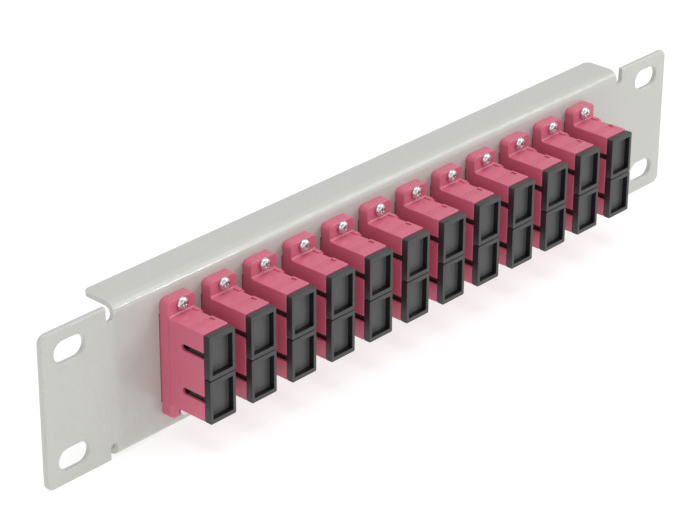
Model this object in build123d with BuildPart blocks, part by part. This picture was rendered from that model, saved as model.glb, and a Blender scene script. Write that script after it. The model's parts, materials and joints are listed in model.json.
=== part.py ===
from build123d import *
import os

# Fibre patch panel for a 10 inch rack: a folded panel with a row of duplex adapters and their dust caps.
# Millimetres. +X runs along the panel, -Y is the front and +Z is up. The origin is the centre of the
# four rack slots on the back face of the ears, which is the face that meets the rack.

# Folded panel
PANEL_WIDTH = 254.0
PANEL_HEIGHT = 44.4
SHEET = 1.5
RETURN_DEPTH = 11.6
BEND_RADIUS = 3.0
EAR_WIDTH = 21.85
EAR_CORNER = 2.5
NOTCH_WIDTH = 2.4
NOTCH_DEPTH = 4.6
RETURN_CORNER = 2.2

# Rack slots in the ears
SLOT_INSET_X = 9.5
SLOT_INSET_Z = 6.8
SLOT_LENGTH = 10.0
SLOT_HEIGHT = 6.0

# Small rounds that repeat in every port and at every screw have this many flats, which keeps the model light
SMALL_FLAT_COUNT = 8
HEAD_FLAT_COUNT = 12

# Row of adapters
ADAPTER_COUNT = 12
ADAPTER_PITCH = 15.0
ROW_LIFT = 0.6
WINDOW_CLEARANCE = 0.25

# Adapter flange and its screws. The flange reaches further to the right of the body than to the left
FLANGE_WIDTH = 9.7
FLANGE_SHIFT = 0.25
FLANGE_THICKNESS = 3.3
FLANGE_CORNER = 1.5
FLANGE_MARGIN = 1.75
SCREW_MARGIN = 2.65
SCREW_RADIUS = 1.0
SCREW_CLEARANCE = 0.2
THREAD_CLEARANCE = 0.02
SCREW_TIP = 1.5
HEAD_RADIUS = 1.85
HEAD_HEIGHT = 1.2
HEAD_CROWN = 0.5

# Adapter body, the same in front of the flange and behind it
BODY_WIDTH = 9.2
BODY_HEIGHT = 25.4
BODY_REACH = 14.15
BODY_SIDE_STEP = 0.3
BODY_FILLET = 0.7
PAD_LENGTH = 3.2
LIP_WIDTH = 1.3
LIP_LENGTH = 2.2
LIP_SETBACK = 0.4
LIP_HEIGHT = 0.3
SIDE_NOTCH_LENGTH = 3.6
SIDE_NOTCH_WIDTH = 0.55
SIDE_NOTCH_DEPTH = 1.3
DIMPLE_LENGTH = 1.8
DIMPLE_WIDTH = 1.0
DIMPLE_DEPTH = 0.4
DIMPLE_INSET = 0.8
DIMPLE_SETBACK = 3.5

# Ports for the plugs, with a slot for each plug's key
PORT_WIDTH = 7.5
PORT_HEIGHT = 9.1
PORT_CHAMFER = 0.7
PORT_SPACING = 12.7
KEY_HEIGHT = 1.95
KEY_LENGTH = 7.9
KEY_CHAMFER = 0.6

# Sleeve holder inside each port, with its latch arms, and the split sleeve that it holds
HOLDER_CLEARANCE = 0.02
HOLDER_PLATE = 2.0
HOLDER_WALL = 0.65
HOLDER_OVERHANG = 0.6
SLEEVE_RADIUS = 1.6
SLEEVE_BORE_RADIUS = 1.25
SLEEVE_LENGTH = 11.4
SLEEVE_SLIT = 0.5
SLEEVE_CLEARANCE = 0.05
LATCH_WIDTH = 2.4
LATCH_THICKNESS = 0.8
LATCH_GAP = 0.45
LATCH_REACH = 11.5
HOOK_HEIGHT = 0.75
HOOK_LENGTH = 1.6

# Dust caps
CAP_WIDTH = 9.2
CAP_HEIGHT = 12.45
CAP_CORNER = 0.3
CAP_DROP = 0.25
CAP_GAP = 0.2
CAP_THICKNESS = 2.0
POCKET_WIDTH = 7.15
POCKET_HEIGHT = 9.9
POCKET_DEPTH = 1.7
PLUG_CLEARANCE = 0.1
PLUG_LENGTH = 6.0
PLUG_WALL = 0.6
PLUG_END = 1.0

# How closely an edge's place has to agree with a face to lie in it
MATCH_TOLERANCE = 0.001

# Places worked out from the sizes above
panel_top = PANEL_HEIGHT / 2
return_back = RETURN_DEPTH - SHEET
ear_inner = PANEL_WIDTH / 2 - EAR_WIDTH
fold_half = ear_inner - NOTCH_WIDTH
slot_spacing_x = PANEL_WIDTH - 2 * SLOT_INSET_X
slot_spacing_z = PANEL_HEIGHT - 2 * SLOT_INSET_Z
screw_spacing = BODY_HEIGHT + 2 * SCREW_MARGIN
flange_height = screw_spacing + 2 * FLANGE_MARGIN
flange_middle = SHEET + FLANGE_THICKNESS / 2
body_left = -BODY_WIDTH / 2
body_right = BODY_WIDTH / 2 - BODY_SIDE_STEP
body_top = BODY_HEIGHT / 2
key_start = BODY_REACH - KEY_LENGTH
dimple_reach = BODY_REACH - DIMPLE_SETBACK - DIMPLE_LENGTH / 2
dimple_side = body_right - DIMPLE_INSET - DIMPLE_WIDTH / 2
pad_reach = FLANGE_THICKNESS / 2 + PAD_LENGTH
lip_reach = FLANGE_THICKNESS / 2 + LIP_SETBACK + LIP_LENGTH / 2
holder_radius = SLEEVE_RADIUS + SLEEVE_CLEARANCE + HOLDER_WALL
holder_half = SLEEVE_LENGTH / 2 + HOLDER_OVERHANG
latch_inner = holder_radius + LATCH_GAP
adapter_xs = [(i - (ADAPTER_COUNT - 1) / 2) * ADAPTER_PITCH for i in range(ADAPTER_COUNT)]
screw_xs = [x + FLANGE_SHIFT for x in adapter_xs]
screw_points = [(x, 0, ROW_LIFT + side * screw_spacing / 2) for x in screw_xs for side in (1, -1)]
port_points = [(x, 0, ROW_LIFT + side * PORT_SPACING / 2) for x in adapter_xs for side in (1, -1)]

# Planes across the adapter face forward, so a positive distance is towards the front.
# Each adapter piece is modelled about x = 0 and z = 0 and set in its place afterwards.
adapter_middle = Plane.XZ.offset(flange_middle)
adapter_plan = Plane((0, -flange_middle, 0), x_dir=(0, -1, 0), z_dir=(0, 0, 1))
left_side = Plane((body_left, -flange_middle, 0), x_dir=(0, -1, 0), z_dir=(-1, 0, 0))
port_length = Plane((0, -flange_middle, 0), x_dir=(0, -1, 0), z_dir=(-1, 0, 0))
flange_face = Plane.XZ.offset(SHEET + FLANGE_THICKNESS)
cap_seat = adapter_middle.offset(BODY_REACH + CAP_GAP)


def lies_on_flange_face(edge):
    """Say whether an edge lies in the front face of the adapter's flange."""
    return abs(edge.center().Y + SHEET + FLANGE_THICKNESS) < MATCH_TOLERANCE


def export(piece, name):
    """Label a finished piece and write it to its own file."""
    piece.label = name
    export_step(piece, f"parts/{name}.step")


os.makedirs("parts", exist_ok=True)

with BuildPart() as panel:
    # The sheet is folded back along the top and the bottom, between the ears
    with BuildSketch(Plane.YZ):
        with BuildLine():
            fold = FilletPolyline(
                (return_back, panel_top),
                (-SHEET, panel_top),
                (-SHEET, -panel_top),
                (return_back, -panel_top),
                radius=BEND_RADIUS,
            )
            offset(fold, amount=SHEET, side=Side.LEFT)
        make_face()
    extrude(amount=fold_half, both=True)
    fillet(panel.edges().filter_by(Axis.Z).group_by(Axis.Y)[-1], RETURN_CORNER)
    # An ear at each end, with a round-ended notch where it leaves the fold
    with BuildSketch(Plane.XZ):
        with Locations(((fold_half + PANEL_WIDTH / 2) / 2, 0)):
            ear = Rectangle(EAR_WIDTH + NOTCH_WIDTH, PANEL_HEIGHT)
        fillet(ear.vertices().group_by(Axis.X)[-1], EAR_CORNER)
        with Locations((fold_half + NOTCH_WIDTH / 2, panel_top), (fold_half + NOTCH_WIDTH / 2, -panel_top)):
            SlotOverall(2 * NOTCH_DEPTH, NOTCH_WIDTH, rotation=90, mode=Mode.SUBTRACT)
        mirror(about=Plane.YZ)
        with GridLocations(slot_spacing_x, slot_spacing_z, 2, 2):
            SlotOverall(SLOT_LENGTH, SLOT_HEIGHT, mode=Mode.SUBTRACT)
    extrude(amount=SHEET)
    # A window and two tapped holes for each adapter
    with BuildSketch(Plane.XZ):
        with Locations((0, ROW_LIFT)):
            with GridLocations(ADAPTER_PITCH, 0, ADAPTER_COUNT, 1):
                Rectangle(BODY_WIDTH + 2 * WINDOW_CLEARANCE, BODY_HEIGHT + 2 * WINDOW_CLEARANCE)
        with Locations((FLANGE_SHIFT, ROW_LIFT)):
            with GridLocations(ADAPTER_PITCH, screw_spacing, ADAPTER_COUNT, 2):
                RegularPolygon(SCREW_RADIUS + THREAD_CLEARANCE, SMALL_FLAT_COUNT)
    extrude(amount=SHEET, mode=Mode.SUBTRACT)

with BuildPart() as housing:
    # Half of the body, from the middle of the flange to the mouths of the ports
    with BuildSketch(adapter_middle):
        with Locations(((body_left + body_right) / 2, 0)):
            Rectangle(body_right - body_left, BODY_HEIGHT)
    extrude(amount=BODY_REACH)
    # Half of the flange that the screws hold against the panel
    with BuildSketch(adapter_middle):
        with Locations((FLANGE_SHIFT, 0)):
            RectangleRounded(FLANGE_WIDTH, flange_height, FLANGE_CORNER)
    extrude(amount=FLANGE_THICKNESS / 2)
    # Pad on the right side, beside the flange
    with BuildSketch(adapter_plan):
        with Locations((pad_reach / 2, body_right)):
            Rectangle(pad_reach, 2 * BODY_SIDE_STEP)
    extrude(amount=body_top, both=True)
    # Key slots, open at the mouth and bevelled at the inner end
    with BuildSketch(left_side):
        with Locations(((key_start + BODY_REACH) / 2, 0)):
            with GridLocations(0, PORT_SPACING, 1, 2):
                key_slot = Rectangle(KEY_LENGTH, KEY_HEIGHT)
        chamfer(key_slot.vertices().group_by(Axis.X)[0], KEY_CHAMFER)
    extrude(amount=-(BODY_WIDTH - PORT_WIDTH) / 2, mode=Mode.SUBTRACT)
    # The half behind the panel is the same, but for what would not pass through the window:
    # the fillets that stiffen the flange, and the lips and hollows on the body's top and bottom
    mirror(about=adapter_middle)
    across_flange = housing.edges().filter_by(Axis.X).filter_by(lies_on_flange_face)
    fillet(across_flange.filter_by(lambda edge: abs(edge.center().Z) <= body_top), BODY_FILLET)
    with BuildSketch(adapter_plan):
        with Locations((lip_reach, (BODY_WIDTH - LIP_WIDTH) / 2)):
            Rectangle(LIP_LENGTH, LIP_WIDTH)
    extrude(amount=body_top + LIP_HEIGHT, both=True)
    # A notch in the right edge and a dimple near the mouth
    for face_plane in (adapter_plan.offset(body_top), adapter_plan.offset(-body_top)):
        with BuildSketch(face_plane):
            with Locations((pad_reach + SIDE_NOTCH_LENGTH / 2, body_right)):
                Rectangle(SIDE_NOTCH_LENGTH, 2 * SIDE_NOTCH_WIDTH)
        extrude(amount=SIDE_NOTCH_DEPTH, both=True, mode=Mode.SUBTRACT)
        with BuildSketch(face_plane):
            with Locations((dimple_reach, dimple_side)):
                Rectangle(DIMPLE_LENGTH, DIMPLE_WIDTH)
        extrude(amount=DIMPLE_DEPTH, both=True, mode=Mode.SUBTRACT)
    # Ports run right through, and each screw has its hole
    with BuildSketch(adapter_middle):
        with GridLocations(0, PORT_SPACING, 1, 2):
            port = Rectangle(PORT_WIDTH, PORT_HEIGHT)
        chamfer(port.vertices(), PORT_CHAMFER)
        with Locations((FLANGE_SHIFT, 0)):
            with GridLocations(0, screw_spacing, 1, 2):
                RegularPolygon(SCREW_RADIUS + SCREW_CLEARANCE, SMALL_FLAT_COUNT)
    extrude(amount=BODY_REACH, both=True, mode=Mode.SUBTRACT)

with BuildPart() as holder:
    # Plate that closes the middle of a port around the sleeve
    with BuildSketch(adapter_middle):
        plate = Rectangle(PORT_WIDTH - 2 * HOLDER_CLEARANCE, PORT_HEIGHT - 2 * HOLDER_CLEARANCE)
        chamfer(plate.vertices(), PORT_CHAMFER)
    extrude(amount=HOLDER_PLATE / 2, both=True)
    # Two latch arms at each end, with hooks that face each other
    with BuildSketch(port_length):
        with BuildLine():
            Polyline(
                (0, latch_inner),
                (LATCH_REACH - HOOK_LENGTH, latch_inner),
                (LATCH_REACH - HOOK_LENGTH, latch_inner - HOOK_HEIGHT),
                (LATCH_REACH, latch_inner),
                (LATCH_REACH, latch_inner + LATCH_THICKNESS),
                (0, latch_inner + LATCH_THICKNESS),
                close=True,
            )
        make_face()
        mirror(about=Plane.XZ)
        mirror(about=Plane.YZ)
    extrude(amount=LATCH_WIDTH / 2, both=True)
    # Tube for the split sleeve
    with BuildSketch(adapter_middle):
        RegularPolygon(holder_radius, SMALL_FLAT_COUNT)
    extrude(amount=holder_half, both=True)
    with BuildSketch(adapter_middle):
        RegularPolygon(SLEEVE_RADIUS + SLEEVE_CLEARANCE, SMALL_FLAT_COUNT)
    extrude(amount=holder_half, both=True, mode=Mode.SUBTRACT)

with BuildPart() as sleeve:
    with BuildSketch(adapter_middle):
        RegularPolygon(SLEEVE_RADIUS, SMALL_FLAT_COUNT)
        RegularPolygon(SLEEVE_BORE_RADIUS, SMALL_FLAT_COUNT, mode=Mode.SUBTRACT)
        with Locations((SLEEVE_RADIUS, 0)):
            Rectangle(SLEEVE_RADIUS, SLEEVE_SLIT, mode=Mode.SUBTRACT)
    extrude(amount=SLEEVE_LENGTH / 2, both=True)

with BuildPart() as screw:
    # Shank from the tip, behind the panel, to the underside of the head
    with BuildSketch(Plane.XZ.offset(-SCREW_TIP)):
        RegularPolygon(SCREW_RADIUS, SMALL_FLAT_COUNT)
    extrude(amount=SCREW_TIP + SHEET + FLANGE_THICKNESS)
    # Pan head with a sloping crown
    with BuildSketch(flange_face):
        RegularPolygon(HEAD_RADIUS, HEAD_FLAT_COUNT)
    extrude(amount=HEAD_HEIGHT)
    chamfer(screw.faces().sort_by(Axis.Y)[0].edges(), HEAD_CROWN)

with BuildPart() as front_cap:
    # Face plate with a shallow pocket
    with BuildSketch(cap_seat):
        with Locations((0, -CAP_DROP)):
            face_plate = Rectangle(CAP_WIDTH, CAP_HEIGHT)
        chamfer(face_plate.vertices(), CAP_CORNER)
    extrude(amount=CAP_THICKNESS)
    with BuildSketch(cap_seat.offset(CAP_THICKNESS)):
        with Locations((0, -CAP_DROP)):
            Rectangle(POCKET_WIDTH, POCKET_HEIGHT)
    extrude(amount=-POCKET_DEPTH, mode=Mode.SUBTRACT)
    # Plug that enters the port, hollow so that it clears the latch arms
    with BuildSketch(cap_seat):
        plug = Rectangle(PORT_WIDTH - 2 * PLUG_CLEARANCE, PORT_HEIGHT - 2 * PLUG_CLEARANCE)
        chamfer(plug.vertices(), PORT_CHAMFER)
    extrude(amount=-(CAP_GAP + PLUG_LENGTH))
    with BuildSketch(cap_seat.offset(-CAP_GAP - PLUG_END)):
        Rectangle(
            PORT_WIDTH - 2 * PLUG_CLEARANCE - 2 * PLUG_WALL,
            PORT_HEIGHT - 2 * PLUG_CLEARANCE - 2 * PLUG_WALL,
        )
    extrude(amount=-(PLUG_LENGTH - PLUG_END), mode=Mode.SUBTRACT)

with BuildPart() as rear_cap:
    # The same cap, turned to the back
    mirror(front_cap.part, about=adapter_middle)

with BuildPart() as screws:
    with Locations(*screw_points):
        add(screw.part)

with BuildPart() as holders:
    with Locations(*port_points):
        add(holder.part)

with BuildPart() as sleeves:
    with Locations(*port_points):
        add(sleeve.part)

export(panel.part, "panel")
export(screws.part, "adapter_screws")
export(holders.part, "sleeve_holders")
export(sleeves.part, "split_sleeves")
for number, x in enumerate(adapter_xs, start=1):
    export(housing.part.moved(Location((x, 0, ROW_LIFT))), f"adapter_housing_{number:02d}")
    upper = Location((x, 0, ROW_LIFT + PORT_SPACING / 2))
    lower = Location((x, 0, ROW_LIFT - PORT_SPACING / 2))
    export(front_cap.part.moved(upper), f"front_cap_{number:02d}_upper")
    export(front_cap.part.moved(lower), f"front_cap_{number:02d}_lower")
    with BuildPart() as rear_pair:
        with Locations(upper, lower):
            add(rear_cap.part)
    export(rear_pair.part, f"rear_caps_{number:02d}")
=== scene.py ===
"""Looks of a fibre patch panel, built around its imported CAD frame.

Everything is in metres in the frame of the CAD model: +X runs along the panel, -Y is the front and
+Z is up.
"""

import json
import math

import bmesh
import bpy
from bpy.props import FloatProperty, FloatVectorProperty, IntProperty, PointerProperty
from bpy.types import Operator, Panel, PropertyGroup
from mathutils import Matrix, Vector

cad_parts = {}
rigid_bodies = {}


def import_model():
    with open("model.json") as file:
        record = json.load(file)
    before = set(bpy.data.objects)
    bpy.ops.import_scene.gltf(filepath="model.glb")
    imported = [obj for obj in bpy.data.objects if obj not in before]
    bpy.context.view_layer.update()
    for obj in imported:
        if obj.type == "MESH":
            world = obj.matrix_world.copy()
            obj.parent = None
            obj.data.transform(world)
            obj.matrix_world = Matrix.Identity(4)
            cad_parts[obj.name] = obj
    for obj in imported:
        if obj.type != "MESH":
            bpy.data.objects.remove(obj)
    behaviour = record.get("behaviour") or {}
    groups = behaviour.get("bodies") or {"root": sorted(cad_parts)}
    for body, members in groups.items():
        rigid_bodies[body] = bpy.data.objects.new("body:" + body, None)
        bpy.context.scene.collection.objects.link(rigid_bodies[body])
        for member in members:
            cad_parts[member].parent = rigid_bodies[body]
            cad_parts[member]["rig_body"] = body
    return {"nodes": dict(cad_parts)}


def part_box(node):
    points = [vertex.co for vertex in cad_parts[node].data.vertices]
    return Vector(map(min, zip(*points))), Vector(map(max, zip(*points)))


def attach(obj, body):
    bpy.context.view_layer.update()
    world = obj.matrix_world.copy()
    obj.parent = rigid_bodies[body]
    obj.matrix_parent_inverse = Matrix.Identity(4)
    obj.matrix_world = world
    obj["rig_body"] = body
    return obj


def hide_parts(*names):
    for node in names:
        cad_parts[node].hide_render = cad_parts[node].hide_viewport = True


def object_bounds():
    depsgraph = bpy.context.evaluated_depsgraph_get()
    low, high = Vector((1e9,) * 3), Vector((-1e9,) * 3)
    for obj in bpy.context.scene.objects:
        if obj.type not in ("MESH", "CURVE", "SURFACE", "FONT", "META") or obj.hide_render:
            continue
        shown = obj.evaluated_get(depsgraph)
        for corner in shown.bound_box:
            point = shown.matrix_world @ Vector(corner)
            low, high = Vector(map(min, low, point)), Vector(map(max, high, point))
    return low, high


bl_info = {
    "name": "Fibre Patch Panel",
    "version": (1, 0, 0),
    "blender": (4, 5, 0),
    "location": "3D View > Sidebar > Patch Panel",
    "description": "Dresses a patch panel with duplex fibre adapters, screws and dust caps",
    "category": "Add Mesh",
}

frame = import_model()
CAD_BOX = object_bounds()
MM = 0.001
# Name of the face attribute that holds painted light and shade, as a factor on a material's colour
PAINTED_LIGHTNESS = "lightness"
WHITE = (1, 1, 1, 1)

# Sizes of the solids that the looks follow
SHEET_THICKNESS = 1.5 * MM
SLOT_INSET = 9.5 * MM
FLANGE_THICKNESS = 3.3 * MM
SCREW_SPACING = 30.7 * MM
BODY_WIDTH = 9.2 * MM
BODY_HALF_HEIGHT = 12.7 * MM
SIDE_STEP = 0.3 * MM
NOTCH_REACH = 8.45 * MM
PORT_SPACING = 12.7 * MM
CAP_THICKNESS = 2.0 * MM
POCKET_WIDTH = 7.15 * MM
POCKET_HEIGHT = 9.9 * MM
POCKET_DEPTH = 1.7 * MM

# Bends between faces or edges: round above SHARP, one run up to BEND, one face up to FLAT
SHARP = math.radians(50)
BEND = math.radians(50)
FLAT = math.radians(1)

# Distances at which two places count as the same point, or as the same side of a form
JOIN = 0.002 * MM
CLOSE = 0.05 * MM
NEAR = 0.1 * MM

# Edges this near the row of adapters, or a screw's axis, stay sharp, and small forms get a share
ROW_MARGIN = 0.5 * MM
SCREW_ZONE = 1.5 * MM
SMALL_SHARE = 0.25

# Pan head from the middle of its top to its foot, as shares of its radius and its height
HEAD_OUTLINE = (
    (0.0, 0.0),
    (0.45, 0.03),
    (0.75, 0.14),
    (0.92, 0.34),
    (1.0, 0.62),
    (1.0, 0.94),
    (0.97, 1.0),
)

# Screws: length and width of the tip, taper of the recess, depths between which its faces lie as
# shares of its depth, and how far each screw is turned past the one before
TIP_LENGTH = 0.3 * MM
TIP_SHARE = 0.7
RECESS_TAPER = 0.45
RECESS_BAND = (0.25, 1.1)
SCREW_TURN = math.radians(37)

# Studio: place and size in metres of each lamp, how far the floor reaches, and the camera
LAMPS = {
    "key": ((1.71, -1.44, 1.34), 1.2),
    "top": ((0.0, -0.1, 2.2), 1.6),
    "fill": ((-1.7, -0.6, 0.9), 1.0),
    "glint": ((1.52, -1.98, 0.62), 0.15),
}
FLOOR_REACH = 20
SENSOR_WIDTH = 36
CLIP_START = 0.01
CLIP_END = 50

housing_nodes = sorted(node for node in frame["nodes"] if node.startswith("adapter_housing_"))
front_cap_nodes = sorted(node for node in frame["nodes"] if node.startswith("front_cap_"))
rear_cap_nodes = sorted(node for node in frame["nodes"] if node.startswith("rear_caps_"))

# The row of adapters with a margin, and where its caps end in front and behind
ROW_BOX = (
    Vector(map(min, *(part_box(node)[0] for node in housing_nodes))) - Vector((1, 1, 1)) * ROW_MARGIN,
    Vector(map(max, *(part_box(node)[1] for node in housing_nodes))) + Vector((1, 1, 1)) * ROW_MARGIN,
)
ROW_ENDS = (
    min(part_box(node)[0].y for node in front_cap_nodes),
    max(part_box(node)[1].y for node in rear_cap_nodes),
)


def middle_of(box):
    """Return the centre of a box that is given as its low and high corners."""
    low, high = box
    return (low + high) / 2


def low_x(node):
    """Return the left end of a CAD node's box."""
    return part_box(node)[0].x


port_axes = tuple(low_x(node) + BODY_WIDTH / 2 for node in housing_nodes)
screw_axes = tuple(middle_of(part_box(node)).x for node in housing_nodes)


class FinishSettings(PropertyGroup):
    """Colours and surface sizes of the finishes."""

    powder_colour: FloatVectorProperty(
        name="Powder Coat",
        description="Colour of the coating on the folded panel",
        subtype="COLOR",
        default=(0.515, 0.52, 0.485),
        min=0.0,
        max=1.0,
    )
    powder_grain: FloatProperty(
        name="Powder Grain",
        description="Size of the ripples in the coating",
        subtype="DISTANCE",
        unit="LENGTH",
        default=0.45 * MM,
    )
    powder_gloss: FloatProperty(
        name="Powder Gloss",
        description="How glossy the coating is between its dull specks",
        default=1.0,
        min=0.0,
        max=1.0,
    )
    adapter_colour: FloatVectorProperty(
        name="Adapter",
        description="Colour of the moulded adapter housings",
        subtype="COLOR",
        default=(0.60, 0.128, 0.203),
        min=0.0,
        max=1.0,
    )
    cap_colour: FloatVectorProperty(
        name="Dust Cap",
        description="Colour of the dust caps",
        subtype="COLOR",
        default=(0.045, 0.045, 0.045),
        min=0.0,
        max=1.0,
    )
    screw_colour: FloatVectorProperty(
        name="Screw",
        description="Colour of the plated screws",
        subtype="COLOR",
        default=(0.70, 0.72, 0.71),
        min=0.0,
        max=1.0,
    )
    holder_colour: FloatVectorProperty(
        name="Sleeve Holder",
        description="Colour of the sleeve holders inside the ports",
        subtype="COLOR",
        default=(0.72, 0.70, 0.63),
        min=0.0,
        max=1.0,
    )
    ceramic_colour: FloatVectorProperty(
        name="Sleeve Ceramic",
        description="Colour of the split alignment sleeves",
        subtype="COLOR",
        default=(0.86, 0.85, 0.80),
        min=0.0,
        max=1.0,
    )
    # Painted light: a factor that makes the bottom of each dust cap's pocket lighter than its rim
    pocket_painted_light: FloatProperty(
        name="Pocket Lightness",
        description="How light the bottom of a dust cap's pocket is beside its rim",
        default=1.6,
        min=0.0,
    )
    # Painted shade: a factor that darkens the left and right sides of each dust cap
    side_painted_shade: FloatProperty(
        name="Side Lightness",
        description="How light a dust cap's left and right sides are beside its rim",
        default=0.35,
        min=0.0,
    )
    # Painted shade: a factor that darkens the walls of each dust cap's pocket
    wall_painted_shade: FloatProperty(
        name="Wall Lightness",
        description="How light the walls of a dust cap's pocket are beside its rim",
        default=0.1,
        min=0.0,
    )
    # Painted shade: a factor that darkens each dust cap's plug, which lies in the adapter's shade
    plug_painted_shade: FloatProperty(
        name="Plug Lightness",
        description="How light a dust cap's plug is beside its rim",
        default=0.5,
        min=0.0,
    )
    # Painted shade: a factor that darkens each screw's cross recess
    recess_painted_shade: FloatProperty(
        name="Recess Lightness",
        description="How light a screw's recess is beside its head",
        default=0.4,
        min=0.0,
    )
    moulding_grain: FloatProperty(
        name="Moulding Grain",
        description="Size of the fine grain on the moulded plastic",
        subtype="DISTANCE",
        unit="LENGTH",
        default=0.12 * MM,
    )


class EdgeSettings(PropertyGroup):
    """How far the edges of each piece are rounded."""

    panel_edge: FloatProperty(
        name="Panel Edge",
        description="Rounding of the coated sheet's front edges, where the punch rolled them over",
        subtype="DISTANCE",
        unit="LENGTH",
        default=0.65 * MM,
    )
    back_share: FloatProperty(
        name="Back Edge Share",
        description="Rounding of the sheet's other edges, as a share of the front edges'",
        subtype="FACTOR",
        default=0.4,
        min=0.0,
        max=1.0,
    )
    housing_edge: FloatProperty(
        name="Adapter Edge",
        description="Rounding of the adapter housings' outer edges",
        subtype="DISTANCE",
        unit="LENGTH",
        default=0.26 * MM,
    )
    cap_edge: FloatProperty(
        name="Cap Edge",
        description="Rounding of the dust caps' edges",
        subtype="DISTANCE",
        unit="LENGTH",
        default=0.14 * MM,
    )
    holder_edge: FloatProperty(
        name="Holder Edge",
        description="Rounding of the sleeve holders' edges",
        subtype="DISTANCE",
        unit="LENGTH",
        default=0.1 * MM,
    )


class RidgeSettings(PropertyGroup):
    """Fine ridges across the top and the bottom of each adapter, near the mouth."""

    setback: FloatVectorProperty(
        name="Setback",
        description="How far behind the mouth each ridge lies",
        subtype="XYZ",
        unit="LENGTH",
        size=3,
        default=(3.55 * MM, 4.45 * MM, 5.3 * MM),
    )
    width: FloatProperty(
        name="Ridge Width",
        description="Width of each ridge",
        subtype="DISTANCE",
        unit="LENGTH",
        default=0.2 * MM,
    )
    height: FloatProperty(
        name="Ridge Height",
        description="Height of each ridge above the housing",
        subtype="DISTANCE",
        unit="LENGTH",
        default=0.08 * MM,
    )
    inset: FloatProperty(
        name="Ridge Inset",
        description="How far each ridge stays inside the housing's left edge",
        subtype="DISTANCE",
        unit="LENGTH",
        default=0.4 * MM,
    )
    length: FloatProperty(
        name="Ridge Length",
        description="How far each ridge runs across, which leaves the dimple free",
        subtype="DISTANCE",
        unit="LENGTH",
        default=6.5 * MM,
    )


class ScrewSettings(PropertyGroup):
    """Sizes of the pan head screws."""

    head_radius: FloatProperty(
        name="Head Radius",
        description="Radius of the pan head",
        subtype="DISTANCE",
        unit="LENGTH",
        default=1.85 * MM,
    )
    head_height: FloatProperty(
        name="Head Height",
        description="Height of the pan head above the flange",
        subtype="DISTANCE",
        unit="LENGTH",
        default=1.2 * MM,
    )
    shank_radius: FloatProperty(
        name="Shank Radius",
        description="Radius of the threaded shank",
        subtype="DISTANCE",
        unit="LENGTH",
        default=1.0 * MM,
    )
    recess_span: FloatProperty(
        name="Recess Span",
        description="Width across the cross recess",
        subtype="DISTANCE",
        unit="LENGTH",
        default=2.15 * MM,
    )
    recess_width: FloatProperty(
        name="Recess Width",
        description="Width of each wing of the cross recess",
        subtype="DISTANCE",
        unit="LENGTH",
        default=0.55 * MM,
    )
    recess_depth: FloatProperty(
        name="Recess Depth",
        description="Depth of the cross recess",
        subtype="DISTANCE",
        unit="LENGTH",
        default=0.8 * MM,
    )
    steps: IntProperty(
        name="Steps",
        description="Number of steps around the head",
        default=32,
        min=12,
        max=96,
    )


class StageSettings(PropertyGroup):
    """Floor, lights and camera."""

    floor_colour: FloatVectorProperty(
        name="Floor",
        description="Colour of the pale floor",
        subtype="COLOR",
        default=(0.38, 0.38, 0.38),
        min=0.0,
        max=1.0,
    )
    floor_glow: FloatProperty(
        name="Floor Glow",
        description="Light that the floor gives by itself, as a light table does",
        default=0.69,
        min=0.0,
    )
    sky_strength: FloatProperty(
        name="Studio Fill",
        description="Brightness of the white studio around the object",
        default=0.62,
        min=0.0,
    )
    key_power: FloatProperty(
        name="Key Light",
        description="Power of the soft box in front, on the right",
        default=14.5,
        min=0.0,
        unit="POWER",
    )
    top_power: FloatProperty(
        name="Top Light",
        description="Power of the soft box overhead",
        default=17.5,
        min=0.0,
        unit="POWER",
    )
    fill_power: FloatProperty(
        name="Fill Light",
        description="Power of the soft box on the left",
        default=3.8,
        min=0.0,
        unit="POWER",
    )
    glint_power: FloatProperty(
        name="Glint Light",
        description="Power of the small lamp that draws bright lines on the edges",
        default=3.8,
        min=0.0,
        unit="POWER",
    )
    camera_place: FloatVectorProperty(
        name="Camera Place",
        description="Where the camera stands",
        subtype="TRANSLATION",
        unit="LENGTH",
        default=(-0.49601, -0.44224, 0.33276),
    )
    camera_turn: FloatVectorProperty(
        name="Camera Turn",
        description="Where the camera points",
        subtype="EULER",
        unit="ROTATION",
        default=(math.radians(63.0226), math.radians(-0.2803), math.radians(-47.3342)),
    )
    camera_lens: FloatProperty(
        name="Camera Lens",
        description="Focal length of the camera",
        unit="CAMERA",
        default=137.19,
    )


class Socket:
    """An output socket in arithmetic: each operator adds its Math node and gives that node's output."""

    def __init__(self, finish, output):
        self.finish = finish
        self.output = output

    def math(self, operation, *values):
        """Add a Math node that works on these sockets or numbers."""
        return self.finish.node("ShaderNodeMath", {"operation": operation}, dict(enumerate(values)))

    def __add__(self, other):
        return self.math("ADD", self, other)

    def __radd__(self, other):
        return self.math("ADD", other, self)

    def __mul__(self, other):
        return self.math("MULTIPLY", self, other)

    def __rmul__(self, other):
        return self.math("MULTIPLY", other, self)

    def __gt__(self, other):
        return self.math("GREATER_THAN", self, other)

    def __lt__(self, other):
        return self.math("LESS_THAN", self, other)


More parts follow.
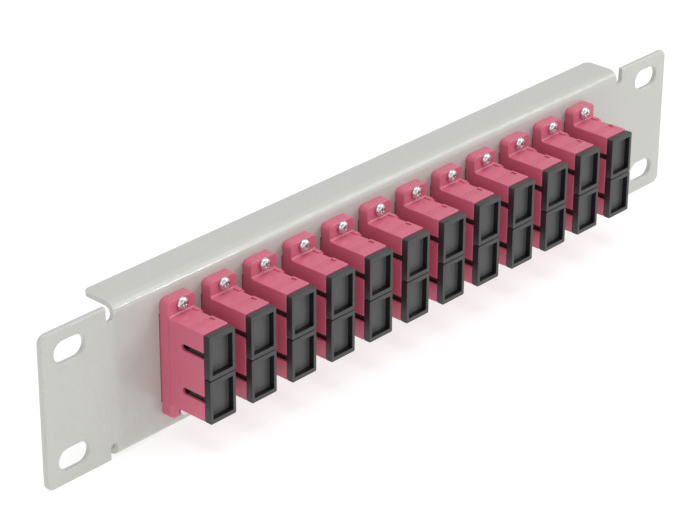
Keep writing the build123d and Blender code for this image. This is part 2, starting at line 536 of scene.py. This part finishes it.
class Finish:
    """A material that is put together from nodes."""

    def __init__(self, name):
        self.material = bpy.data.materials.new(name)
        self.material.use_nodes = True
        self.tree = self.material.node_tree
        self.tree.nodes.clear()

    def node(self, kind, settings=None, sockets=None, output=0):
        """Add a node, make its settings, then fill or link its sockets, and give one of its outputs."""
        made = self.tree.nodes.new(kind)
        for key, value in (settings or {}).items():
            setattr(made, key, value)
        for key, value in (sockets or {}).items():
            if isinstance(value, Socket):
                self.tree.links.new(value.output, made.inputs[key])
            else:
                made.inputs[key].default_value = value
        return Socket(self, made.outputs[output]) if made.outputs else None

    def place(self):
        """Give the Object coordinates, which are metres in the frame of the CAD model."""
        return self.node("ShaderNodeTexCoord", output="Object")

    def noise(self, grain, detail=2.0):
        """Give noise whose features are about as large as grain."""
        return self.node(
            "ShaderNodeTexNoise",
            sockets={"Vector": self.place(), "Scale": 1 / grain, "Detail": detail},
        )

    def bump(self, height, strength, distance):
        """Give the normal of a surface that rises by distance where height is 1."""
        return self.node(
            "ShaderNodeBump",
            sockets={"Strength": strength, "Distance": distance, "Height": height},
        )

    def painted_shading(self, colour):
        """Give the colour times the painted light and shade that the mesh holds for each face."""
        lightness = self.node("ShaderNodeAttribute", {"attribute_name": PAINTED_LIGHTNESS}, output="Fac")
        return self.node(
            "ShaderNodeVectorMath",
            {"operation": "SCALE"},
            {0: colour, "Scale": lightness},
        )

    def tint(self, colour, share, amount):
        """Give the colour, made lighter and darker by amount as share goes from 0 to 1."""
        darker = tuple(channel * (1 - amount) for channel in colour) + (1,)
        lighter = tuple(min(1, channel * (1 + amount)) for channel in colour) + (1,)
        return self.node(
            "ShaderNodeMix",
            {"data_type": "RGBA"},
            {"Factor": share, 6: darker, 7: lighter},
            output=2,
        )

    def surface(self, sockets):
        """End the material in a Principled shader with these sockets."""
        shader = self.node("ShaderNodeBsdfPrincipled", sockets=sockets)
        self.node("ShaderNodeOutputMaterial", sockets={"Surface": shader})
        return self.material


def powder_coat(settings):
    """Satin powder coat: soft ripples, and fine specks that are duller and darker than the rest."""
    finish = Finish("Powder Coat")
    ripple = finish.noise(settings.powder_grain, 3.0)
    cloud = finish.noise(40 * settings.powder_grain)
    speck = finish.noise(1.2 * settings.powder_grain, 1.0)
    return finish.surface(
        {
            "Base Color": finish.tint(settings.powder_colour, cloud * 0.3 + speck * 0.7, 0.1),
            "Roughness": ripple * 0.16 + 0.40,
            "Coat Weight": ((speck > 0.5) * 0.65 + 0.35) * settings.powder_gloss,
            "Coat Roughness": 0.12,
            "Normal": finish.bump(ripple, 0.6, 0.04 * MM),
        }
    )


def adapter_plastic(settings):
    """Moulded adapter plastic with a fine grain."""
    finish = Finish("Adapter Plastic")
    grain = finish.noise(settings.moulding_grain)
    cloud = finish.noise(60 * settings.moulding_grain)
    return finish.surface(
        {
            "Base Color": finish.tint(settings.adapter_colour, cloud, 0.06),
            "Roughness": grain * 0.10 + 0.22,
            "Normal": finish.bump(grain, 0.2, 0.01 * MM),
        }
    )


def cap_plastic(settings):
    """Matte black plastic with the fine grain of a spark-eroded mould, with painted shade and painted
    light from each face's attribute in its colour.
    """
    finish = Finish("Cap Plastic")
    grain = finish.noise(settings.moulding_grain, 3.0)
    cloud = finish.noise(30 * settings.moulding_grain)
    return finish.surface(
        {
            "Base Color": finish.painted_shading(finish.tint(settings.cap_colour, cloud, 0.2)),
            "Roughness": cloud * 0.12 + 0.42,
            "Normal": finish.bump(grain, 0.4, 0.02 * MM),
        }
    )


def plated_steel(settings):
    """Bright plated steel with a faint grain, with painted shade in the screws' recesses in its colour."""
    finish = Finish("Plated Steel")
    cloud = finish.noise(8 * settings.moulding_grain)
    grain = finish.noise(settings.moulding_grain, 3.0)
    return finish.surface(
        {
            "Base Color": finish.painted_shading(finish.tint(settings.screw_colour, cloud, 0.08)),
            "Metallic": 1.0,
            "Roughness": cloud * 0.16 + 0.18,
            "Normal": finish.bump(grain, 0.2, 0.01 * MM),
        }
    )


def holder_plastic(settings):
    """Natural engineering plastic of the sleeve holders."""
    finish = Finish("Holder Plastic")
    grain = finish.noise(settings.moulding_grain)
    return finish.surface(
        {
            "Base Color": finish.tint(settings.holder_colour, grain, 0.04),
            "Roughness": grain * 0.12 + 0.38,
            "Normal": finish.bump(grain, 0.2, 0.01 * MM),
        }
    )


def sleeve_ceramic(settings):
    """Polished ceramic of the alignment sleeves."""
    finish = Finish("Sleeve Ceramic")
    cloud = finish.noise(10 * settings.moulding_grain)
    return finish.surface(
        {
            "Base Color": finish.tint(settings.ceramic_colour, cloud, 0.03),
            "Roughness": cloud * 0.08 + 0.10,
        }
    )


def merged_copy(node, planes):
    """Copy a CAD node's triangles into a bmesh of joined faces, split at planes across X.

    The planes run through the holes, so that no joined face has to reach around one.
    """
    mesh = frame["nodes"][node].data.copy()
    for attribute in [found for found in mesh.attributes if found.name == "custom_normal"]:
        mesh.attributes.remove(attribute)
    shape = bmesh.new()
    shape.from_mesh(mesh)
    bpy.data.meshes.remove(mesh)
    bmesh.ops.remove_doubles(shape, verts=shape.verts, dist=JOIN)
    for place in planes:
        cut = bmesh.ops.bisect_plane(
            shape,
            geom=shape.verts[:] + shape.edges[:] + shape.faces[:],
            dist=JOIN,
            plane_co=(place, 0, 0),
            plane_no=(1, 0, 0),
        )["geom_cut"]
        for edge in cut:
            if isinstance(edge, bmesh.types.BMEdge):
                edge.seam = True
    bmesh.ops.dissolve_limit(
        shape,
        angle_limit=FLAT,
        verts=shape.verts,
        edges=shape.edges,
        delimit={"SEAM"},
    )
    return shape


def paint_light_and_shade(shape, painted_lightness_of):
    """Give each face its painted light and shade, a lightness factor from the given function, for its
    material to read.
    """
    layer = shape.faces.layers.float.new(PAINTED_LIGHTNESS)
    for face in shape.faces:
        face[layer] = painted_lightness_of(face.calc_center_median())


def runs_on(edge, other, vert):
    """Say whether one edge goes on into another at a vertex with at most a slight bend."""
    way_in = vert.co - edge.other_vert(vert).co
    way_out = other.other_vert(vert).co - vert.co
    return way_in.angle(way_out) < BEND


def weigh_edges(shape, share_of):
    """Give each run of sharp edges the least share of the full rounding that share_of says in it.

    Edges whose share is 0 stay sharp and bind no other edge.
    """
    weights = shape.edges.layers.float.new("bevel_weight_edge")
    shares = {
        edge: share_of(edge)
        for edge in shape.edges
        if edge.calc_face_angle(0.0) > SHARP
    }
    waiting = [edge for edge, share in shares.items() if share > 0]
    while waiting:
        edge = waiting.pop()
        for vert in edge.verts:
            for other in vert.link_edges:
                if other in shares and shares[other] > shares[edge] and runs_on(edge, other, vert):
                    shares[other] = shares[edge]
                    waiting.append(other)
    for edge, share in shares.items():
        edge[weights] = share
        edge.smooth = share > 0


def rounded_copy(node, planes):
    """Copy a CAD node so that all its sharp edges get the full rounding."""
    shape = merged_copy(node, planes)
    weigh_edges(shape, lambda edge: 1.0)
    return shape


def add_piece(shape, name, slot, material, nodes, edge=0.0, segments=2):
    """Make an object from a bmesh that stands for CAD nodes and rides on their body."""
    mesh = bpy.data.meshes.new(name)
    shape.to_mesh(mesh)
    shape.free()
    mesh.materials.append(material)
    mesh.shade_smooth()
    piece = bpy.data.objects.new(name, mesh)
    bpy.context.scene.collection.objects.link(piece)
    if edge:
        rounding = piece.modifiers.new("Edge Rounding", "BEVEL")
        rounding.width = edge
        rounding.segments = segments
        rounding.limit_method = "WEIGHT"
        rounding.use_clamp_overlap = False
        rounding.harden_normals = True
    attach(piece, frame["nodes"][nodes[0]]["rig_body"])
    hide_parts(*nodes)
    return piece


class PATCHPANEL_OT_folded_panel(Operator):
    """Give the folded panel its rounded edges and powder coat"""

    bl_idname = "patch_panel.folded_panel"
    bl_label = "Folded Panel"

    def execute(self, context):
        scene = context.scene
        edges = scene.panel_edges
        slots = (CAD_BOX[0].x + SLOT_INSET, CAD_BOX[1].x - SLOT_INSET)
        shape = merged_copy("panel", screw_axes + slots)
        weigh_edges(shape, lambda edge: self.share(edge, edges.back_share))
        add_piece(
            shape,
            "coated_panel",
            "panel_powder_coat",
            powder_coat(scene.panel_finish),
            ["panel"],
            edges.panel_edge,
            segments=4,
        )
        return {"FINISHED"}

    def share(self, edge, back_share):
        """Round the rim of the front face most, and leave the holes behind the flanges sharp."""
        first, second = (vert.co for vert in edge.verts)
        behind_flange = all(
            ROW_BOX[0].x < point.x < ROW_BOX[1].x and ROW_BOX[0].z < point.z < ROW_BOX[1].z
            for point in (first, second)
        )
        if behind_flange:
            return 0.0
        in_front = max(first.y, second.y) < NEAR - SHEET_THICKNESS
        return 1.0 if in_front else back_share


class PATCHPANEL_OT_adapter_housings(Operator):
    """Give each adapter housing its rounded edges and moulded plastic"""

    bl_idname = "patch_panel.adapter_housings"
    bl_label = "Adapter Housings"

    def execute(self, context):
        scene = context.scene
        material = adapter_plastic(scene.panel_finish)
        for node in housing_nodes:
            shape = merged_copy(node, [low_x(node) + BODY_WIDTH / 2])
            weigh_edges(shape, lambda edge, box=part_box(node): self.share(edge, box))
            self.add_ridges(shape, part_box(node), scene.panel_ridges)
            add_piece(
                shape,
                f"moulded_{node}",
                "adapter_plastic",
                material,
                [node],
                scene.panel_edges.housing_edge,
            )
        return {"FINISHED"}

    def add_ridges(self, shape, box, sizes):
        """Lay fine ridges across the top and the bottom behind the mouth, and one down the left."""
        low = box[0]
        middle = middle_of(box)
        across = low.x + sizes.inset + sizes.length / 2
        for setback in sizes.setback:
            for side in (1, -1):
                self.add_ridge(
                    shape,
                    (across, low.y + setback, middle.z + side * BODY_HALF_HEIGHT),
                    (sizes.length, sizes.width, 2 * sizes.height),
                )
        self.add_ridge(
            shape,
            (low.x, middle.y - FLANGE_THICKNESS / 2, middle.z),
            (2 * sizes.height, sizes.width, 2 * BODY_HALF_HEIGHT),
        )

    def add_ridge(self, shape, middle, size):
        """Lay one ridge, half sunk into the housing, with sharp edges."""
        ridge = bmesh.ops.create_cube(
            shape,
            size=1,
            matrix=Matrix.Translation(middle) @ Matrix.Diagonal((*size, 1)),
        )
        for vert in ridge["verts"]:
            for edge in vert.link_edges:
                edge.smooth = False

    def share(self, edge, box):
        """Round the outlines of the flange and the body fully, and small forms less.

        Screw holes, inner corners and the flange's back stay sharp.
        """
        low, high = box
        middle = middle_of(box)
        width = high.x - low.x
        points = [vert.co for vert in edge.verts]
        across = [point.x - low.x for point in points]
        along = [abs(point.y - middle.y) for point in points]
        up = [abs(point.z - middle.z) for point in points]
        from_screw = (
            math.hypot(x - width / 2, z - SCREW_SPACING / 2) for x, z in zip(across, up)
        )
        if max(from_screw) < SCREW_ZONE or not edge.is_convex:
            return 0.0
        on_left = max(across) < CLOSE
        on_right = min(across) > BODY_WIDTH - SIDE_STEP - CLOSE
        on_top = min(up) > BODY_HALF_HEIGHT - CLOSE
        at_mouth = min(along) > high.y - middle.y - CLOSE
        past_body = min(up) > BODY_HALF_HEIGHT or min(across) > width - NEAR
        if past_body and max(along) < FLANGE_THICKNESS / 2 + CLOSE:
            return 1.0 if points[0].y < middle.y else 0.0
        if on_left and on_top:
            return 1.0
        if at_mouth and (on_left or on_right or on_top):
            return 1.0
        if on_right and on_top and min(along) > NOTCH_REACH - CLOSE:
            return 1.0
        return SMALL_SHARE


class PATCHPANEL_OT_adapter_screws(Operator):
    """Add the pan head screws with their cross recess"""

    bl_idname = "patch_panel.adapter_screws"
    bl_label = "Adapter Screws"

    def execute(self, context):
        scene = context.scene
        sizes = scene.panel_screws
        low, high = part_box("adapter_screws")
        head = self.head(sizes, high.y - low.y)
        shape = bmesh.new()
        screw_heights = (high.z - sizes.head_radius, low.z + sizes.head_radius)
        for number, x in enumerate(screw_axes):
            for side, z in enumerate(screw_heights):
                turn = Matrix.Rotation(SCREW_TURN * (2 * number + side), 4, "Y")
                at = Vector((x, low.y, z))
                copy = head.copy()
                copy.transform(Matrix.Translation(at) @ turn)
                shape.from_mesh(copy)
                bpy.data.meshes.remove(copy)
        bpy.data.meshes.remove(head)

        # Painted shade: the faces inside each cross recess get a darker colour
        def painted_lightness_of(centre):
            from_screw = min(
                math.hypot(centre.x - x, centre.z - z) for x in screw_axes for z in screw_heights
            )
            depth = (centre.y - low.y) / sizes.recess_depth
            in_recess = RECESS_BAND[0] < depth < RECESS_BAND[1] and from_screw < sizes.recess_span / 2
            return scene.panel_finish.recess_painted_shade if in_recess else 1.0

        paint_light_and_shade(shape, painted_lightness_of)
        add_piece(
            shape,
            "plated_screws",
            "screw_steel",
            plated_steel(scene.panel_finish),
            ["adapter_screws"],
        )
        return {"FINISHED"}

    def head(self, sizes, length):
        """Spin a screw's outline about its axis and cut the cross recess, with its front at the origin."""
        head = [
            (across * sizes.head_radius, down * sizes.head_height) for across, down in HEAD_OUTLINE
        ]
        shank = [
            (sizes.shank_radius, sizes.head_height),
            (sizes.shank_radius, length - TIP_LENGTH),
            (TIP_SHARE * sizes.shank_radius, length),
            (0.0, length),
        ]
        shape = bmesh.new()
        verts = [shape.verts.new((radius, depth, 0)) for radius, depth in head + shank]
        edges = [shape.edges.new(pair) for pair in zip(verts, verts[1:])]
        bmesh.ops.spin(
            shape,
            geom=verts + edges,
            axis=(0, 1, 0),
            cent=(0, 0, 0),
            angle=math.tau,
            steps=sizes.steps,
            use_merge=True,
        )
        bmesh.ops.remove_doubles(shape, verts=shape.verts, dist=JOIN)
        bmesh.ops.recalc_face_normals(shape, faces=shape.faces)
        body = self.loose_object(shape, "screw")

        cutter = bmesh.new()
        for turn in (0, 90):
            wing = bmesh.ops.create_cube(
                cutter,
                size=1,
                matrix=Matrix.Rotation(math.radians(turn), 4, "Y")
                @ Matrix.Diagonal((sizes.recess_span, 2 * sizes.recess_depth, sizes.recess_width, 1)),
            )
            inner = [vert for vert in wing["verts"] if vert.co.y > 0]
            bmesh.ops.scale(cutter, vec=(RECESS_TAPER, 1, RECESS_TAPER), verts=inner)
        wings = self.loose_object(cutter, "recess")

        cut = body.modifiers.new("Recess", "BOOLEAN")
        cut.operation = "DIFFERENCE"
        cut.solver = "EXACT"
        cut.use_self = True
        cut.object = wings
        cut_mesh = bpy.data.meshes.new_from_object(
            body.evaluated_get(bpy.context.evaluated_depsgraph_get())
        )
        for spare in (body, wings):
            mesh = spare.data
            bpy.data.objects.remove(spare)
            bpy.data.meshes.remove(mesh)
        return cut_mesh

    def loose_object(self, shape, name):
        """Make an object from a bmesh for the time that it takes to cut the recess."""
        mesh = bpy.data.meshes.new(name)
        shape.to_mesh(mesh)
        shape.free()
        made = bpy.data.objects.new(name, mesh)
        bpy.context.scene.collection.objects.link(made)
        return made


def add_caps(scene, nodes, material, rise):
    """Add dust caps that lie rise above and below their node's middle, with painted shade on their sides,
    plug and pocket walls and a painted lighter pocket floor.
    """
    settings = scene.panel_finish
    for node in nodes:
        middle = middle_of(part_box(node))

        # Painted light and shade for each face of a cap: darker sides, walls and plug, and a lighter
        # pocket floor
        def painted_lightness_of(centre):
            depth = min(abs(centre.y - end) for end in ROW_ENDS)
            beside = abs(centre.x - middle.x) > POCKET_WIDTH / 2 + NEAR
            above = abs(abs(centre.z - middle.z) - rise) > POCKET_HEIGHT / 2 + NEAR
            if depth > CAP_THICKNESS:
                return settings.plug_painted_shade
            if beside or above or depth < NEAR:
                return settings.side_painted_shade if beside and depth > NEAR else 1.0
            at_floor = depth > POCKET_DEPTH - NEAR
            return settings.pocket_painted_light if at_floor else settings.wall_painted_shade

        shape = rounded_copy(node, [middle.x])
        paint_light_and_shade(shape, painted_lightness_of)
        add_piece(
            shape,
            f"moulded_{node}",
            "cap_plastic",
            material,
            [node],
            scene.panel_edges.cap_edge,
        )


class PATCHPANEL_OT_front_caps(Operator):
    """Add a dust cap to each port in front"""

    bl_idname = "patch_panel.front_caps"
    bl_label = "Front Dust Caps"

    def execute(self, context):
        add_caps(context.scene, front_cap_nodes, cap_plastic(context.scene.panel_finish), 0)
        return {"FINISHED"}


class PATCHPANEL_OT_rear_caps(Operator):
    """Add a dust cap to each port behind"""

    bl_idname = "patch_panel.rear_caps"
    bl_label = "Rear Dust Caps"

    def execute(self, context):
        add_caps(context.scene, rear_cap_nodes, bpy.data.materials["Cap Plastic"], PORT_SPACING / 2)
        return {"FINISHED"}


class PATCHPANEL_OT_sleeve_holders(Operator):
    """Give the sleeve holders and the split sleeves inside the ports their finish"""

    bl_idname = "patch_panel.sleeve_holders"
    bl_label = "Sleeve Holders"

    def execute(self, context):
        scene = context.scene
        for node, slot, material in (
            ("sleeve_holders", "holder_plastic", holder_plastic(scene.panel_finish)),
            ("split_sleeves", "sleeve_ceramic", sleeve_ceramic(scene.panel_finish)),
        ):
            add_piece(
                rounded_copy(node, port_axes),
                f"finished_{node}",
                slot,
                material,
                [node],
                scene.panel_edges.holder_edge,
            )
        return {"FINISHED"}


class PATCHPANEL_OT_studio(Operator):
    """Set up the pale floor, the soft light and the camera"""

    bl_idname = "patch_panel.studio"
    bl_label = "Studio"

    def execute(self, context):
        scene = context.scene
        settings = scene.panel_stage
        self.floor(settings)
        self.lights(scene, settings)
        self.camera(scene, settings)
        scene.view_settings.view_transform = "Standard"
        return {"FINISHED"}

    def floor(self, settings):
        """Lay a floor under the panel that goes on to the horizon."""
        shape = bmesh.new()
        bmesh.ops.create_grid(
            shape,
            x_segments=1,
            y_segments=1,
            size=FLOOR_REACH,
            matrix=Matrix.Translation((0, 0, CAD_BOX[0].z)),
        )
        mesh = bpy.data.meshes.new("floor")
        shape.to_mesh(mesh)
        shape.free()
        finish = Finish("Floor")
        mesh.materials.append(
            finish.surface(
                {
                    "Base Color": (*settings.floor_colour, 1),
                    "Roughness": 0.9,
                    "Emission Color": WHITE,
                    "Emission Strength": settings.floor_glow,
                }
            )
        )
        floor = bpy.data.objects.new("floor", mesh)
        bpy.context.scene.collection.objects.link(floor)

    def lights(self, scene, settings):
        """Surround the object with a white studio, and hang three soft boxes and a small lamp."""
        world = bpy.data.worlds.new("Studio")
        world.use_nodes = True
        background = world.node_tree.nodes["Background"]
        background.inputs["Color"].default_value = WHITE
        background.inputs["Strength"].default_value = settings.sky_strength
        scene.world = world
        for name, (place, size) in LAMPS.items():
            self.soft_box(name, place, size, getattr(settings, f"{name}_power"))

    def soft_box(self, name, place, size, power):
        """Hang a square lamp that points at the origin."""
        lamp = bpy.data.lights.new(name, "AREA")
        lamp.shape = "SQUARE"
        lamp.size = size
        lamp.energy = power
        light = bpy.data.objects.new(name, lamp)
        light.location = place
        light.rotation_euler = (-light.location).to_track_quat("-Z", "Y").to_euler()
        bpy.context.scene.collection.objects.link(light)

    def camera(self, scene, settings):
        """Put the camera where the panel is seen from."""
        lens = bpy.data.cameras.new("camera")
        lens.sensor_width = SENSOR_WIDTH
        lens.lens = settings.camera_lens
        lens.clip_start = CLIP_START
        lens.clip_end = CLIP_END
        camera = bpy.data.objects.new("camera", lens)
        camera.location = settings.camera_place
        camera.rotation_euler = settings.camera_turn
        scene.collection.objects.link(camera)
        scene.camera = camera


class PATCHPANEL_PT_pieces(Panel):
    """List the pieces in the sidebar"""

    bl_idname = "PATCHPANEL_PT_pieces"
    bl_label = "Patch Panel"
    bl_space_type = "VIEW_3D"
    bl_region_type = "UI"
    bl_category = "Patch Panel"

    def draw(self, context):
        for operator in operators:
            self.layout.operator(operator.bl_idname)


settings_groups = {
    "panel_finish": FinishSettings,
    "panel_edges": EdgeSettings,
    "panel_ridges": RidgeSettings,
    "panel_screws": ScrewSettings,
    "panel_stage": StageSettings,
}
operators = (
    PATCHPANEL_OT_folded_panel,
    PATCHPANEL_OT_adapter_housings,
    PATCHPANEL_OT_adapter_screws,
    PATCHPANEL_OT_front_caps,
    PATCHPANEL_OT_rear_caps,
    PATCHPANEL_OT_sleeve_holders,
    PATCHPANEL_OT_studio,
)


def register():
    """Register the settings, the operators and the sidebar panel."""
    for name, group in settings_groups.items():
        bpy.utils.register_class(group)
        setattr(bpy.types.Scene, name, PointerProperty(type=group))
    for operator in operators:
        bpy.utils.register_class(operator)
    bpy.utils.register_class(PATCHPANEL_PT_pieces)


def unregister():
    """Take back what register did, last first."""
    bpy.utils.unregister_class(PATCHPANEL_PT_pieces)
    for operator in reversed(operators):
        bpy.utils.unregister_class(operator)
    for name, group in reversed(settings_groups.items()):
        delattr(bpy.types.Scene, name)
        bpy.utils.unregister_class(group)


def main():
    """Make every piece and the studio."""
    register()
    bpy.ops.patch_panel.folded_panel()
    bpy.ops.patch_panel.adapter_housings()
    bpy.ops.patch_panel.adapter_screws()
    bpy.ops.patch_panel.front_caps()
    bpy.ops.patch_panel.rear_caps()
    bpy.ops.patch_panel.sleeve_holders()
    bpy.ops.patch_panel.studio()


if __name__ == "__main__":
    main()
